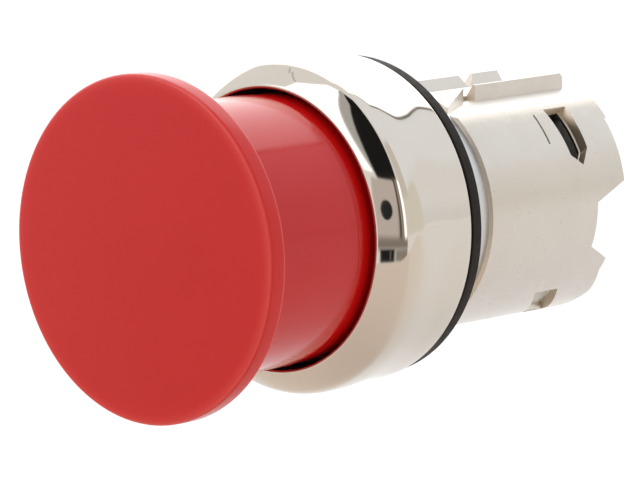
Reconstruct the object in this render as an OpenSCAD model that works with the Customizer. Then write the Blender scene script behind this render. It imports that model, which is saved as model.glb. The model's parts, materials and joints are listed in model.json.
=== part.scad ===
// Push-pull emergency stop head for a 22 mm panel hole, millimetres.
// The head's axis is Y: the cap faces -Y, the contacts sit behind it at +Y, and +Z is up.
// The origin is on the axis, in the plane of the panel's front face.
// The cap is drawn pulled out, ready to be pressed.

/* [Cap] */
// Diameter of the mushroom cap
cap_d = 30; // [28:0.5:34]
// Thickness of the cap's rim
rim_t = 1.75; // [1.2:0.05:2.4]
// Height of the crown above the rim's front edge
crown_h = 0.75; // [0.4:0.05:1.4]
// Rounding of the rim's front edge
rim_round = 0.4; // [0.2:0.05:0.5]
// Rounding of the rim's rear edge
rim_rear_round = 0.2; // [0.1:0.05:0.4]
// Fillet between the cap's underside and its skirt
skirt_fillet = 1.2; // [0.6:0.1:1.6]
// Gap between the skirt and the bezel's lip
skirt_gap = 0.55; // [0.4:0.05:0.9]
// Step to the skirt's narrower end inside the bezel
skirt_step = 0.15; // [0.1:0.05:0.6]
// Wall of the skirt's narrower end
skirt_wall = 1.7; // [1.2:0.1:1.8]
// Length of skirt that shows between the cap and the bezel
skirt_show = 13.95; // [12:0.05:16]
// Length of full-width skirt that stops short of the bezel's lip
skirt_stop = 1.3; // [0.6:0.1:2]
// Length of the skirt's end inside the bezel
skirt_inside = 1.75; // [1:0.05:2.4]
// Thickness of the cap's front over its hollow
cap_front_t = 3.4; // [2.6:0.1:4]
// Wall of the cap's central boss round the lock washer
boss_wall = 0.8; // [0.5:0.1:1.2]
// Thickness of the cap's inner ribs
rib_t = 1.2; // [0.8:0.1:2]
// Length of the cap's inner ribs
rib_l = 7; // [4:0.5:9]
// Depth to which the ribs run into the cap's walls
rib_root = 0.5; // [0.3:0.1:0.8]

/* [Stem] */
// Push travel from pulled out to latched in
travel = 4.4; // [3.6:0.1:5]
// Diameter of the stem
stem_d = 6; // [5.8:0.1:6.2]
// Step between the stem and its front screw, on the radius
screw_step = 0.55; // [0.5:0.05:1]
// Length of the stem's front screw
stem_screw_l = 11; // [9:0.5:11.2]
// Step between the stem and its rear end, on the radius
stem_end_step = 1; // [0.8:0.05:1.2]
// Depth of the clip's groove in the stem's rear end
clip_groove = 0.5; // [0.3:0.05:0.6]
// Wall of the threaded insert
insert_wall = 1.53; // [1.2:0.01:1.7]
// Length of the threaded insert past the stem's screw
insert_past = 1; // [0.9:0.1:1.2]
// Distance by which the lock washer stands out over the insert
lock_washer_w = 0.6; // [0.4:0.1:0.7]
// Thickness of the lock washer
lock_washer_t = 0.6; // [0.4:0.1:1]
// Gap between the lock washer's edge and the boss
lock_washer_gap = 0.2; // [0.1:0.05:0.3]
// Gap between the washers and the stem, on the radius
washer_fit = 0.05; // [0.03:0.01:0.1]
// Depth of the boss that covers the lock washer
boss_cover = 1.6; // [1.2:0.1:2]

/* [Bezel] */
// Distance by which the cap stands out over the bezel
bezel_inset = 0.275; // [0:0.025:0.5]
// Distance by which the bezel narrows towards the gasket, on the radius
bezel_taper = 0.425; // [0.2:0.025:0.6]
// Wall of the bezel at the gasket
bezel_wall = 1.03; // [0.8:0.01:1.3]
// Bezel height in front of the gasket
bezel_h = 10.35; // [9.5:0.05:11]
// Width of the bezel's front ring
ring_w = 2.275; // [2.1:0.025:2.6]
// Thickness of the lip along the axis
lip_t = 1.2; // [1:0.1:1.3]
// Rounding of the lip's inner edge
lip_round = 0.15; // [0.1:0.05:0.3]
// Slope of the front ring, in degrees from a plane across the axis
ring_slope = 43.5; // [42:0.5:45]
// Rounding of the bezel's outer front edge
bezel_round = 2.2; // [1.8:0.1:2.6]

/* [Panel seat] */
// Thickness of the panel gasket
gasket_t = 1.6; // [1.2:0.1:2]
// Distance by which the bezel stands out over the gasket
gasket_inset = 0.25; // [0.1:0.05:0.6]
// Gap between the gasket and the barrel's neck
gasket_fit = 0.05; // [0.02:0.01:0.1]

/* [Barrel] */
// Diameter of the barrel, for a hole of 22.3 to 22.5
barrel_d = 22.2; // [22:0.05:22.3]
// Step between the barrel and its neck in the panel's hole, on the radius
neck_step = 0.45; // [0.3:0.05:0.6]
// Length of the neck behind the panel's front face
neck_l = 5.05; // [4.5:0.05:6]
// Length of the barrel behind the panel's front face
barrel_l = 23.9; // [23.6:0.05:25]
// Step at the sides of the barrel's rear end
side_step = 0.7; // [0.3:0.05:1]
// Height over the axis where the side step starts
side_step_z = 7.1; // [6:0.1:7.15]
// Chamfer of the barrel's rear end
rear_chamfer = 0.4; // [0.2:0.05:0.6]
// Wall of the sleeve inside the bezel
sleeve_wall = 0.75; // [0.6:0.05:0.8]
// Thickness of the barrel's inner wall between sleeve and neck
wall_t = 3.2; // [2.4:0.1:3.6]
// Wall of the neck
neck_wall = 2.25; // [2.2:0.05:2.6]
// Wall of the barrel behind the neck
barrel_wall = 2.1; // [2:0.05:2.2]
// Wall of the barrel from the upper slot to its rear end
rear_wall = 1.4; // [1.2:0.05:1.6]
// Distance in front of the upper slot where the thinner wall starts
rear_wall_lead = 0.1; // [0.05:0.01:0.12]
// Wall under the flat shelves
shelf_wall = 2; // [1.8:0.05:2.2]
// Place where the wider bore starts
bore_start = 6; // [5.6:0.1:6.6]

/* [Key rails] */
// Depth of the flat shelves at the rails' feet, from the barrel's top
shelf_depth = 1.9; // [1.8:0.05:2.1]
// Slope by which the shelves fall outwards, in degrees
shelf_slope = 7; // [4:1:10]
// Depth of the channel's floor between the rails
floor_depth = 1.5; // [1.4:0.05:1.7]
// Half the width over the rails
rail_out = 3; // [2.8:0.05:3.2]
// Half the width of the channel's floor
rail_in = 2; // [1.8:0.05:2.2]
// Flat on top of a rail
rail_top = 0.25; // [0.1:0.05:0.4]
// Distance of the rails' and fins' tops below the barrel's round
rail_ease = 0.03; // [0.02:0.01:0.1]
// Place where the right rail starts
rail_start = 11.8; // [11:0.1:13]
// Place where the left rail's front piece ends
left_rail_end = 15.9; // [15:0.1:16.4]
// Place where the left rail's rear piece starts
left_tail_start = 17; // [16.6:0.1:18]
// Place where the left rail's rear piece ends
left_tail_end = 21.5; // [20.5:0.1:23]
// Length of the slopes on the left rail's ends
rail_slope = 1.6; // [0.8:0.1:2]
// Half the width between the front fins
fin_in = 3.2; // [3.05:0.05:3.4]
// Half the width over the front fins at their front
fin_out = 5.7; // [5:0.1:6]
// Place where the front fins end in a point
fin_end = 10.05; // [9:0.05:11]

/* [Bayonet slots] */
// Angle of the upper slot's middle, from the top
slot_angle = 56; // [54:1:58]
// Length of the upper slot round the barrel
slot_l = 5.8; // [5:0.1:6.4]
// Front edge of the upper slot
slot_y = 16.2; // [16:0.05:17]
// Width of the upper slot
slot_w = 3; // [2.6:0.1:3.4]
// Fall of the upper slot's front edge along its length
slot_slope = 0.5; // [0.2:0.05:0.8]
// Length of the upper slot's front edge past its middle
slot_front_l = 1.9; // [1.5:0.05:2.2]
// Length of the upper slot's rear edge past its middle
slot_rear_l = 1.4; // [1:0.05:1.8]
// Distance of the upper slot's point behind its front edge
slot_point = 1.8; // [1.4:0.05:2.2]
// Angle of the lower slot's middle, from the top
low_slot_angle = 151; // [148:1:154]
// Length of the lower slot round the barrel
low_slot_l = 6; // [5:0.1:6.6]
// Front edge of the lower slot
low_slot_y = 14.6; // [14:0.1:15]
// Width of the lower slot
low_slot_w = 3.1; // [2.6:0.1:3.4]
// Depth of the lower slot
low_slot_depth = 1; // [0.6:0.1:1.2]
// Distance by which the lower slot climbs to the rear along its length
low_slot_lead = 4.1; // [3.4:0.1:4.6]
// Place of the fine scribed line
scribe_y = 14.4; // [14:0.1:15]
// Angle from the top where the scribed line starts
scribe_from = 43; // [40:1:48]
// Angle from the top where the scribed line ends
scribe_to = 59; // [54:1:64]
// Width of the fine scribed line
scribe_w = 0.22; // [0.15:0.01:0.4]
// Depth of the fine scribed line
scribe_depth = 0.18; // [0.1:0.01:0.3]

/* [Rear notches] */
// Place of the notch's floor
notch_floor = 19.4; // [18.6:0.1:20.4]
// Height over the axis of the notch's upper corner at the rear
notch_top = 1.7; // [1.2:0.1:2.2]
// Height over the axis of the notch's lower corner at the rear
notch_bottom = -5.4; // [-6:0.1:-4.8]
// Width of the small step below the notch
notch_step_w = 1.2; // [0.6:0.1:1.8]
// Depth of the small step below the notch
notch_step = 1.7; // [1.2:0.1:2]
// Distance over which the rear edge slopes back to the barrel's end below the small step
notch_run = 3; // [2.4:0.1:3.05]
// Distance by which the notch's upper side falls towards its floor
notch_top_slope = 1.6; // [1:0.1:2]
// Distance by which the notch's lower side rises towards its floor
notch_low_slope = 1.4; // [0.8:0.1:1.8]

/* [Seals and guides] */
// Thickness of the dust wiper
wiper_t = 1.3; // [1:0.1:1.6]
// Gap between the dust wiper and the skirt
wiper_gap = 0.2; // [0.15:0.05:0.3]
// Wall of the guide bush in the inner wall
bush_wall = 2.45; // [2:0.05:2.7]
// Gap between the guide bush's flange and the neck's bore
bush_flange_gap = 0.1; // [0.05:0.05:0.5]
// Thickness of the guide bush's flange
bush_flange_t = 1.5; // [1:0.1:2.5]
// Running clearance between the stem and its guides, on the radius
run_fit = 0.05; // [0.03:0.01:0.08]
// Wall of the stem seal
seal_t = 3.43; // [3.1:0.01:3.7]
// Length of the stem seal
seal_l = 1.9; // [1.5:0.1:2.4]
// Thickness of the seal's retainer
seal_retainer_t = 0.5; // [0.4:0.05:0.8]
// Wall of the seal's housing
seal_wall = 1.5; // [1:0.1:2]
// Thickness of the stop buffer
buffer_t = 1.2; // [0.8:0.1:1.6]
// Gap round the stem in the seal's retainer and the stop buffer
bore_gap = 0.2; // [0.1:0.05:0.4]
// Free play left at the end of the push
end_play = 0.2; // [0.1:0.05:0.4]
// Seating gap of pressed and glued pieces
seat_fit = 0.02; // [0.01:0.01:0.04]

/* [Latch] */
// Length of the latch carrier
carrier_l = 9.2; // [8.8:0.1:9.4]
// Fit of the carrier in the barrel's bore
carrier_fit = 0.05; // [0.02:0.01:0.1]
// Wall of the carrier's rear rim, which closes the upper slots from inside
guard_wall = 0.6; // [0.5:0.05:0.62]
// Length of the carrier's rear rim
guard_l = 5.8; // [5.4:0.1:6.2]
// Gap between the carrier and the stem
carrier_gap = 0.4; // [0.3:0.05:0.6]
// Width of a toggle lever
lever_w = 3; // [2.6:0.1:3.2]
// Radius of a lever's nose in the stem's groove
nose_r = 0.7; // [0.6:0.05:0.75]
// Depth of a lever's nose in the stem when it stands straight, at its middle
nose_depth = 0.7; // [0.6:0.05:0.8]
// Half the thickness of a lever's bar at its nose
bar_nose = 0.45; // [0.35:0.05:0.5]
// Half the thickness of a lever's bar at its seat
bar_seat = 0.5; // [0.4:0.05:0.55]
// Radius of a lever's bead in its seat
bead_r = 0.9; // [0.8:0.05:0.95]
// Running clearance of the levers' beads and noses
lever_fit = 0.05; // [0.03:0.01:0.08]
// Side gap of a lever's nose in the stem's groove
nose_gap = 0.15; // [0.12:0.01:0.2]
// Side gap of a lever in the carrier's pocket
pocket_gap = 0.15; // [0.1:0.01:0.2]
// Room past a lever's nose at each end of the carrier's pocket
pocket_room = 0.3; // [0.2:0.05:0.4]
// Distance from the middle of a lever's bead to the back of its seat
seat_back = 1.7; // [1.5:0.05:1.9]
// Half the length of a toggle seat
seat_half = 1.95; // [1.8:0.05:2.1]
// Depth of the seat's cup past the bead's middle
seat_mouth = 0.3; // [0.25:0.05:0.4]
// Gap between the latch spring and the barrel's bore
latch_spring_gap = 0.55; // [0.45:0.05:0.65]
// Thickness of the latch spring
latch_spring_t = 0.4; // [0.3:0.05:0.5]
// Width of the latch spring
latch_spring_w = 3.6; // [3:0.1:3.8]
// Gap between the latch spring and its groove and seats
latch_spring_fit = 0.05; // [0.03:0.01:0.08]
// Half angle of the latch spring's opening at the top
latch_spring_open = 42; // [41:1:50]
// Thickness of the carrier's retainer plate
retainer_t = 0.75; // [0.6:0.05:1]

/* [Pusher] */
// Gap between the pusher plate and the flat side of the bore
pusher_side_gap = 0.5; // [0.4:0.05:0.9]
// Thickness of the pusher plate
pusher_t = 1.5; // [1.2:0.1:1.6]
// Gap between a pusher's pad and the washer
pad_gap = 0.1; // [0.1:0.05:0.3]
// Diameter of the pusher's pads
pad_d = 3; // [2.4:0.1:3.2]
// Height of the pusher's pads
pad_h = 1; // [0.6:0.1:1.4]
// Width of the pusher's washer
washer_w = 1.15; // [1:0.05:1.4]
// Thickness of the pusher's washer
washer_t = 0.4; // [0.3:0.05:0.6]
// Width of the pusher's clip
clip_w = 1.48; // [1.3:0.01:1.8]
// Thickness of the pusher's clip
clip_t = 0.5; // [0.4:0.05:0.6]
// Width of the clip's opening
clip_gap = 2; // [1.6:0.1:2.4]
// Length of the stem behind its clip
clip_land = 0.3; // [0.2:0.05:0.5]
// Gap between the pulled-out pusher and the retainer plate
pusher_gap = 0.3; // [0.2:0.05:0.5]

/* [Hidden] */

// Fineness of large and small round shapes, and of rounded edges
big_sides = 128;
small_sides = 48;
arc_steps = 10;
// Length by which a cut runs past the face it opens
past = 1;

// Diameters of the head, from the outside in
bezel_d = cap_d - 2 * bezel_inset;
bezel_rear_d = bezel_d - 2 * bezel_taper;
lip_d = bezel_d - 2 * ring_w;
skirt_d = lip_d - 2 * skirt_gap;
skirt_tip_d = skirt_d - 2 * skirt_step;
wiper_d = skirt_d + 2 * wiper_gap;
gasket_d = bezel_rear_d - 2 * gasket_inset;
sleeve_d = bezel_rear_d - 2 * (bezel_wall + seat_fit);
sleeve_bore_d = sleeve_d - 2 * sleeve_wall;

// Diameters and heights of the barrel
neck_d = barrel_d - 2 * neck_step;
neck_bore_d = neck_d - 2 * neck_wall;
bore_d = barrel_d - 2 * barrel_wall;
shelf_z = barrel_d / 2 - shelf_depth;
floor_z = barrel_d / 2 - floor_depth;
shelf_edge_z = shelf_z - (barrel_d / 2 - rail_out) * tan(shelf_slope);
bore_flat = shelf_z - shelf_wall;
pusher_d = 2 * (bore_flat - pusher_side_gap);

// Diameters round the stem
stem_screw_d = stem_d - 2 * screw_step;
stem_end_d = stem_d - 2 * stem_end_step;
insert_d = stem_screw_d + 2 * (seat_fit + insert_wall);
insert_l = stem_screw_l - lock_washer_t + insert_past;
lock_washer_d = insert_d + 2 * lock_washer_w;
boss_d = lock_washer_d + 2 * (lock_washer_gap + boss_wall);
bush_bore_d = stem_d + 2 * run_fit;
bush_d = bush_bore_d + 2 * (bush_wall + seat_fit);
bush_flange_d = neck_bore_d - 2 * bush_flange_gap;
seal_d = bush_bore_d + 2 * (seal_t + seat_fit);
carrier_bore_d = stem_d + 2 * carrier_gap;
carrier_r = bore_d / 2 - carrier_fit;
guard_bore_r = carrier_r - guard_wall;
washer_d = stem_end_d + 2 * (washer_fit + washer_w);
pad_x = washer_d / 2 + pad_gap + pad_d / 2;
clip_d = stem_end_d - 2 * clip_groove + 2 * (seat_fit + clip_w);

// Places along the axis, from the cap to the rear
bezel_rear = -gasket_t;
bezel_front = bezel_rear - bezel_h;
rim_rear = bezel_front - skirt_show;
rim_front = rim_rear - rim_t;
crown_top = rim_front - crown_h;
hollow_roof = crown_top + cap_front_t;
skirt_end = bezel_front - skirt_stop;
skirt_tip = bezel_front + skirt_inside;
lip_rear = bezel_front + lip_t;
sleeve_front = lip_rear + wiper_t;
wall_rear = 0;
wall_front = wall_rear - wall_t;
seal_front = wall_front - seal_l;
housing_front = seal_front - seal_retainer_t;
buffer_front = housing_front - buffer_t;
boss_end = buffer_front - travel - end_play;
insert_rear = boss_end - boss_cover;
screw_start = insert_rear + lock_washer_t;
carrier_rear = bore_start + carrier_l;
guard_rear = carrier_rear + guard_l;
latch_mid = bore_start + carrier_l / 2;
retainer_rear = carrier_rear + seat_fit + retainer_t;
pusher_front = retainer_rear + pusher_gap;
pusher_rear = pusher_front + pusher_t;
washer_rear = pusher_rear + washer_t;
clip_rear = washer_rear + clip_t;
stem_end = clip_rear + clip_land;

// The levers lean to the front at rest and as far to the rear when latched in
latch_spring_r = bore_d / 2 - latch_spring_gap - latch_spring_t;
seat_outer_r = latch_spring_r - latch_spring_fit;
nose_x = stem_d / 2 - nose_depth;
pivot_x = seat_outer_r - seat_back;
lever_l = pivot_x - nose_x;
lever_swing = asin(travel / 2 / lever_l);
groove_mid = latch_mid - travel / 2;
groove_half = nose_r + nose_gap;
groove_bottom = nose_x - nose_r - lever_fit;
pocket_half_z = lever_w / 2 + pocket_gap;
pocket_half_y = travel / 2 + nose_r + pocket_room;
seat_pocket_half = seat_half + lever_fit;
latch_spring_front = latch_mid - latch_spring_w / 2;
latch_spring_rear = latch_mid + latch_spring_w / 2;

// Colours
nickel = [0.83, 0.80, 0.76];
chrome = [0.88, 0.87, 0.84];
red = [0.74, 0.14, 0.13];
rubber = [0.12, 0.12, 0.12];
steel = [0.62, 0.63, 0.65];
brass = [0.80, 0.65, 0.30];
ivory = [0.88, 0.86, 0.78];
black = [0.16, 0.16, 0.17];

// Points on an arc about a centre
function arc(centre, r, from, to) = [
    for (i = [0:arc_steps])
        centre + r * [cos(from + (to - from) * i / arc_steps), sin(from + (to - from) * i / arc_steps)]
];

// A solid of revolution about the head's axis, from points of radius and place along the axis
module turned(points, sides = big_sides)
    rotate([-90, 0, 0]) rotate_extrude($fn = sides) polygon(points);

// A ring about the head's axis
module ring(inner, outer, front, rear, sides = big_sides)
    turned([[inner, front], [outer, front], [outer, rear], [inner, rear]], sides);

// A part of a ring, between two angles from the top towards +X
module ring_part(inner, outer, front, rear, from, to)
    rotate([-90, 0, 0]) rotate([0, 0, from - 90]) rotate_extrude(angle = to - from, $fn = big_sides)
        polygon([[inner, front], [outer, front], [outer, rear], [inner, rear]]);

// A straight-sided shape cut inwards from the barrel at an angle from the top
module radial_prism(angle, points, inner, outer)
    rotate([0, angle, 0]) translate([0, 0, inner]) linear_extrude(outer - inner) polygon(points);

// A flat shape in X and Z, run along the axis
module run_along(points, front, rear)
    translate([0, rear, 0]) rotate([90, 0, 0]) linear_extrude(rear - front) polygon(points);

// A flat shape in Y and Z, run along X
module run_across(points, from, to)
    translate([from, 0, 0]) rotate([90, 0, 90]) linear_extrude(to - from) polygon(points);

// A round bar with one flat side on top, as the barrel's bore and what fits in it
module keyed_bar(radius, flat, front, rear) difference() {
    ring(0, radius, front, rear);
    translate([-radius - past, front - past, flat])
        cube([2 * (radius + past), rear - front + 2 * past, radius]);
}

// The children and their mirror image on the -X side
module both_sides() {
    children();
    mirror([1, 0, 0]) children();
}

module mushroom_cap() color(red) {
    rim_r = cap_d / 2;
    skirt_r = skirt_d / 2;
    tip_r = skirt_tip_d / 2;
    hollow_r = tip_r - skirt_wall;
    tip_ease = skirt_r - tip_r;
    washer_room_r = lock_washer_d / 2 + lock_washer_gap;
    edge_r = rim_r - rim_round;
    crown_r = (edge_r * edge_r + crown_h * crown_h) / (2 * crown_h);
    crown_angle = asin(edge_r / crown_r);
    crown = [
        for (i = [0:arc_steps])
            let (a = crown_angle * i / arc_steps)
            [crown_r * sin(a), crown_top + crown_r * (1 - cos(a))]
    ];
    rim_edge = arc([edge_r, rim_front + rim_round], rim_round, -90, 0);
    rear_edge = arc([rim_r - rim_rear_round, rim_rear - rim_rear_round], rim_rear_round, 0, 90);
    fillet = arc([skirt_r + skirt_fillet, rim_rear + skirt_fillet], skirt_fillet, 270, 180);
    tip_edge = arc([tip_r, skirt_end - tip_ease], tip_ease, 0, 90);
    turned(concat(crown, rim_edge, rear_edge, fillet, tip_edge, [
        [tip_r, skirt_tip], [hollow_r, skirt_tip], [hollow_r, hollow_roof],
        [boss_d / 2, hollow_roof], [boss_d / 2, boss_end],
        [washer_room_r, boss_end], [washer_room_r, insert_rear],
        [insert_d / 2 + seat_fit, insert_rear], [insert_d / 2 + seat_fit, insert_rear - insert_l],
        [0, insert_rear - insert_l]
    ]));
    for (turn = [0:90:270])
        rotate([0, turn, 0])
            translate([boss_d / 2 - rib_root, hollow_roof - rib_root, -rib_t / 2])
                cube([hollow_r - boss_d / 2 + 2 * rib_root, rib_l + rib_root, rib_t]);
}

module cap_insert() color(brass)
    ring(stem_screw_d / 2 + seat_fit, insert_d / 2, insert_rear - insert_l, insert_rear, small_sides);

module lock_washer() color(steel)
    ring(stem_screw_d / 2 + washer_fit, lock_washer_d / 2, insert_rear, screw_start, small_sides);

module stem() color(steel) {
    stem_r = stem_d / 2;
    end_r = stem_end_d / 2;
    turned([
        [0, screw_start - stem_screw_l], [stem_screw_d / 2, screw_start - stem_screw_l],
        [stem_screw_d / 2, screw_start], [stem_r, screw_start],
        [stem_r, groove_mid - groove_half], [groove_bottom, groove_mid - groove_half],
        [groove_bottom, groove_mid + groove_half], [stem_r, groove_mid + groove_half],
        [stem_r, pusher_front], [end_r, pusher_front],
        [end_r, washer_rear], [end_r - clip_groove, washer_rear],
        [end_r - clip_groove, clip_rear], [end_r, clip_rear],
        [end_r, stem_end], [0, stem_end]
    ], small_sides);
}

module bezel() color(chrome) {
    front_r = bezel_d / 2;
    lip_r = lip_d / 2;
    inner_r = sleeve_d / 2 + seat_fit;
    ring_start = [lip_r + lip_round * (1 + sin(ring_slope)), bezel_front + lip_round * (1 - cos(ring_slope))];
    ring_run = front_r - bezel_round * (1 - sin(ring_slope)) - ring_start[0];
    edge_y = ring_start[1] + ring_run * tan(ring_slope) + bezel_round * cos(ring_slope);
    turned(concat(
        [[inner_r, bezel_rear], [bezel_rear_d / 2, bezel_rear]],
        arc([front_r - bezel_round, edge_y], bezel_round, 0, ring_slope - 90),
        arc([lip_r + lip_round, bezel_front + lip_round], lip_round, ring_slope - 90, -180),
        [[lip_r, lip_rear], [inner_r, lip_rear]]
    ));
}

module dust_wiper() color(rubber)
    ring(wiper_d / 2, sleeve_d / 2, lip_rear, sleeve_front);

module barrel_blank() {
    barrel_r = barrel_d / 2;
    turned([
        [sleeve_bore_d / 2, sleeve_front], [sleeve_d / 2, sleeve_front],
        [sleeve_d / 2, bezel_rear], [neck_d / 2, bezel_rear], [neck_d / 2, neck_l],
        [barrel_r, neck_l], [barrel_r, barrel_l - rear_chamfer], [barrel_r - rear_chamfer, barrel_l],
        [0, barrel_l], [0, bore_start], [neck_bore_d / 2, bore_start],
        [neck_bore_d / 2, wall_rear], [bush_d / 2, wall_rear], [bush_d / 2, wall_front],
        [seal_d / 2, wall_front], [seal_d / 2, housing_front],
        [seal_d / 2 + seal_wall, housing_front], [seal_d / 2 + seal_wall, wall_front],
        [sleeve_bore_d / 2, wall_front]
    ]);
}

// Height of a rail's or fin's top at a distance from the middle
function crest(x) = sqrt(pow(barrel_d / 2, 2) - x * x) - rail_ease;

// One rail's section on the +X side
rail_section = [
    [rail_in, shelf_z - past], [rail_out, shelf_z - past], [rail_out, crest(rail_out)],
    [rail_out - rail_top, crest(rail_out)], [rail_in, floor_z]
];

// One front fin's section on the +X side
fin_section = [
    [fin_in, shelf_z - past], [fin_out, shelf_z - past], [fin_out, crest(fin_out)], [fin_in, crest(fin_in)]
];

// What stays above the shelves: the channel's floor, the two rails and the two pointed fins
module key_rails() {
    barrel_r = barrel_d / 2;
    cut_end = left_rail_end + rail_slope / 2;
    run_along([
        [-rail_in, shelf_z - past], [rail_in, shelf_z - past], [rail_in, floor_z], [-rail_in, floor_z]
    ], neck_l - past, barrel_l + past);
    run_along(rail_section, rail_start, barrel_l + past);
    difference() {
        mirror([1, 0, 0]) run_along(rail_section, neck_l - past, left_tail_end);
        run_across([
            [left_rail_end, barrel_r], [left_tail_start + rail_slope, barrel_r], [left_tail_start, floor_z],
            [left_tail_start, shelf_z - past], [cut_end, shelf_z - past], [cut_end, floor_z]
        ], -rail_out - past, -rail_in + past);
    }
    both_sides() intersection() {
        run_along(fin_section, neck_l - past, fin_end);
        translate([0, 0, shelf_z - past]) linear_extrude(barrel_r - shelf_z + 2 * past)
            polygon([
                [fin_in, neck_l - past], [fin_out, neck_l - past], [fin_out, neck_l], [fin_in, fin_end]
            ]);
    }
    both_sides() translate([0, 0, shelf_z - past]) linear_extrude(floor_z - shelf_z + past)
        polygon([[0, neck_l - past], [fin_in, neck_l - past], [fin_in, fin_end], [0, fin_end]]);
}

module barrel_cuts() {
    barrel_r = barrel_d / 2;
    side_step_y = barrel_l - side_step;
    step_y = barrel_l - notch_step;
    step_bottom = notch_bottom - notch_step_w;
    run_bottom = step_bottom - notch_run;
    rear_bore_r = barrel_r - rear_wall;
    keyed_bar(bore_d / 2, bore_flat, bore_start, barrel_l + past);
    keyed_bar(rear_bore_r, bore_flat, slot_y - rear_wall_lead, barrel_l + past);
    difference() {
        run_along([
            [-barrel_r, shelf_edge_z], [-rail_out, shelf_z], [rail_out, shelf_z], [barrel_r, shelf_edge_z],
            [barrel_r, barrel_r + past], [-barrel_r, barrel_r + past]
        ], neck_l, barrel_l + past);
        key_rails();
    }
    both_sides() {
        radial_prism(slot_angle, [
            [-slot_l / 2, slot_y], [slot_front_l, slot_y + slot_slope], [slot_l / 2, slot_y + slot_point],
            [slot_rear_l, slot_y + slot_w], [-slot_l / 2, slot_y + slot_w]
        ], bore_flat, barrel_r + past);
        radial_prism(low_slot_angle, [
            [-low_slot_l / 2, low_slot_y], [low_slot_l / 2, low_slot_y + low_slot_lead],
            [low_slot_l / 2, low_slot_y + low_slot_lead + low_slot_w],
            [-low_slot_l / 2, low_slot_y + low_slot_w]
        ], barrel_r - low_slot_depth, barrel_r + past);
        ring_part(barrel_r - scribe_depth, barrel_r + past, scribe_y, scribe_y + scribe_w,
            scribe_from, scribe_to);
        run_across([
            [notch_floor, notch_top - notch_top_slope], [side_step_y, notch_top],
            [side_step_y, side_step_z], [barrel_l + past, side_step_z],
            [barrel_l + past, notch_bottom], [step_y, notch_bottom],
            [notch_floor, notch_bottom + notch_low_slope]
        ], bore_flat - past, barrel_r + past);
    }
    run_across([
        [step_y, 0], [barrel_l + past, 0], [barrel_l + past, run_bottom], [barrel_l, run_bottom],
        [step_y, step_bottom]
    ], -barrel_r - past, barrel_r + past);
}

module barrel() color(nickel) difference() {
    barrel_blank();
    barrel_cuts();
}

module panel_gasket() color(rubber)
    ring(neck_d / 2 + gasket_fit, gasket_d / 2, bezel_rear, 0);

module guide_bush() color(ivory) turned([
    [bush_bore_d / 2, wall_front], [bush_d / 2 - seat_fit, wall_front],
    [bush_d / 2 - seat_fit, wall_rear], [bush_flange_d / 2, wall_rear],
    [bush_flange_d / 2, wall_rear + bush_flange_t], [bush_bore_d / 2, wall_rear + bush_flange_t]
]);

module stem_seal() color(rubber)
    ring(bush_bore_d / 2, seal_d / 2 - seat_fit, seal_front, wall_front);

module seal_retainer() color(steel)
    ring(stem_d / 2 + bore_gap, seal_d / 2 - seat_fit, housing_front, seal_front);

module stop_buffer() color(rubber)
    ring(stem_d / 2 + bore_gap, seal_d / 2 + seal_wall, buffer_front, housing_front);

module latch_carrier() color(black) difference() {
    keyed_bar(carrier_r, bore_flat - carrier_fit, bore_start, guard_rear);
    ring(0, carrier_bore_d / 2, bore_start - past, carrier_rear + past);
    ring(0, guard_bore_r, carrier_rear, guard_rear + past);
    ring(seat_outer_r, bore_d, latch_spring_front - latch_spring_fit, latch_spring_rear + latch_spring_fit);
    both_sides() {
        translate([0, latch_mid - pocket_half_y, -pocket_half_z])
            cube([pivot_x - bead_r + seat_mouth, 2 * pocket_half_y, 2 * pocket_half_z]);
        translate([0, latch_mid - seat_pocket_half, -pocket_half_z])
            cube([bore_d, 2 * seat_pocket_half, 2 * pocket_half_z]);
    }
}

module latch_spring() color(steel)
    ring_part(latch_spring_r, latch_spring_r + latch_spring_t, latch_spring_front, latch_spring_rear,
        latch_spring_open, 360 - latch_spring_open);

module toggle_seat() color(ivory) difference() {
    intersection() {
        ring(0, seat_outer_r, latch_mid - seat_half, latch_mid + seat_half);
        translate([pivot_x - seat_mouth, latch_mid - seat_half, -lever_w / 2 - lever_fit])
            cube([bore_d, 2 * seat_half, lever_w + 2 * lever_fit]);
    }
    translate([pivot_x, latch_mid, -lever_w])
        cylinder(r = bead_r + lever_fit, h = 2 * lever_w, $fn = small_sides);
}

module toggle_seat_right() toggle_seat();

module toggle_seat_left() mirror([1, 0, 0]) toggle_seat();

module toggle_lever() color(steel)
    translate([pivot_x, latch_mid, -lever_w / 2]) rotate([0, 0, lever_swing]) linear_extrude(lever_w) {
        circle(bead_r, $fn = small_sides);
        translate([-lever_l, 0]) circle(nose_r, $fn = small_sides);
        polygon([[0, -bar_seat], [0, bar_seat], [-lever_l, bar_nose], [-lever_l, -bar_nose]]);
    }

module toggle_lever_right() toggle_lever();

module toggle_lever_left() mirror([1, 0, 0]) toggle_lever();

module carrier_retainer() color(steel) difference() {
    keyed_bar(guard_bore_r - seat_fit, bore_flat - carrier_fit, carrier_rear + seat_fit, retainer_rear);
    ring(0, stem_d / 2 + run_fit, carrier_rear - past, retainer_rear + past);
}

module pusher() color(black) {
    ring(stem_end_d / 2 + seat_fit, pusher_d / 2, pusher_front, pusher_rear);
    both_sides() translate([pad_x, pusher_front, 0]) rotate([-90, 0, 0])
        cylinder(d = pad_d, h = pusher_t + pad_h, $fn = small_sides);
}

module pusher_washer() color(steel)
    ring(stem_end_d / 2 + washer_fit, washer_d / 2, pusher_rear, washer_rear, small_sides);

// The clip is a ring with one open side
module pusher_clip() color(steel) difference() {
    ring(stem_end_d / 2 - clip_groove + seat_fit, clip_d / 2, washer_rear, clip_rear, small_sides);
    translate([-clip_gap / 2, washer_rear - past, -clip_d])
        cube([clip_gap, clip_t + 2 * past, clip_d]);
}

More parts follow.
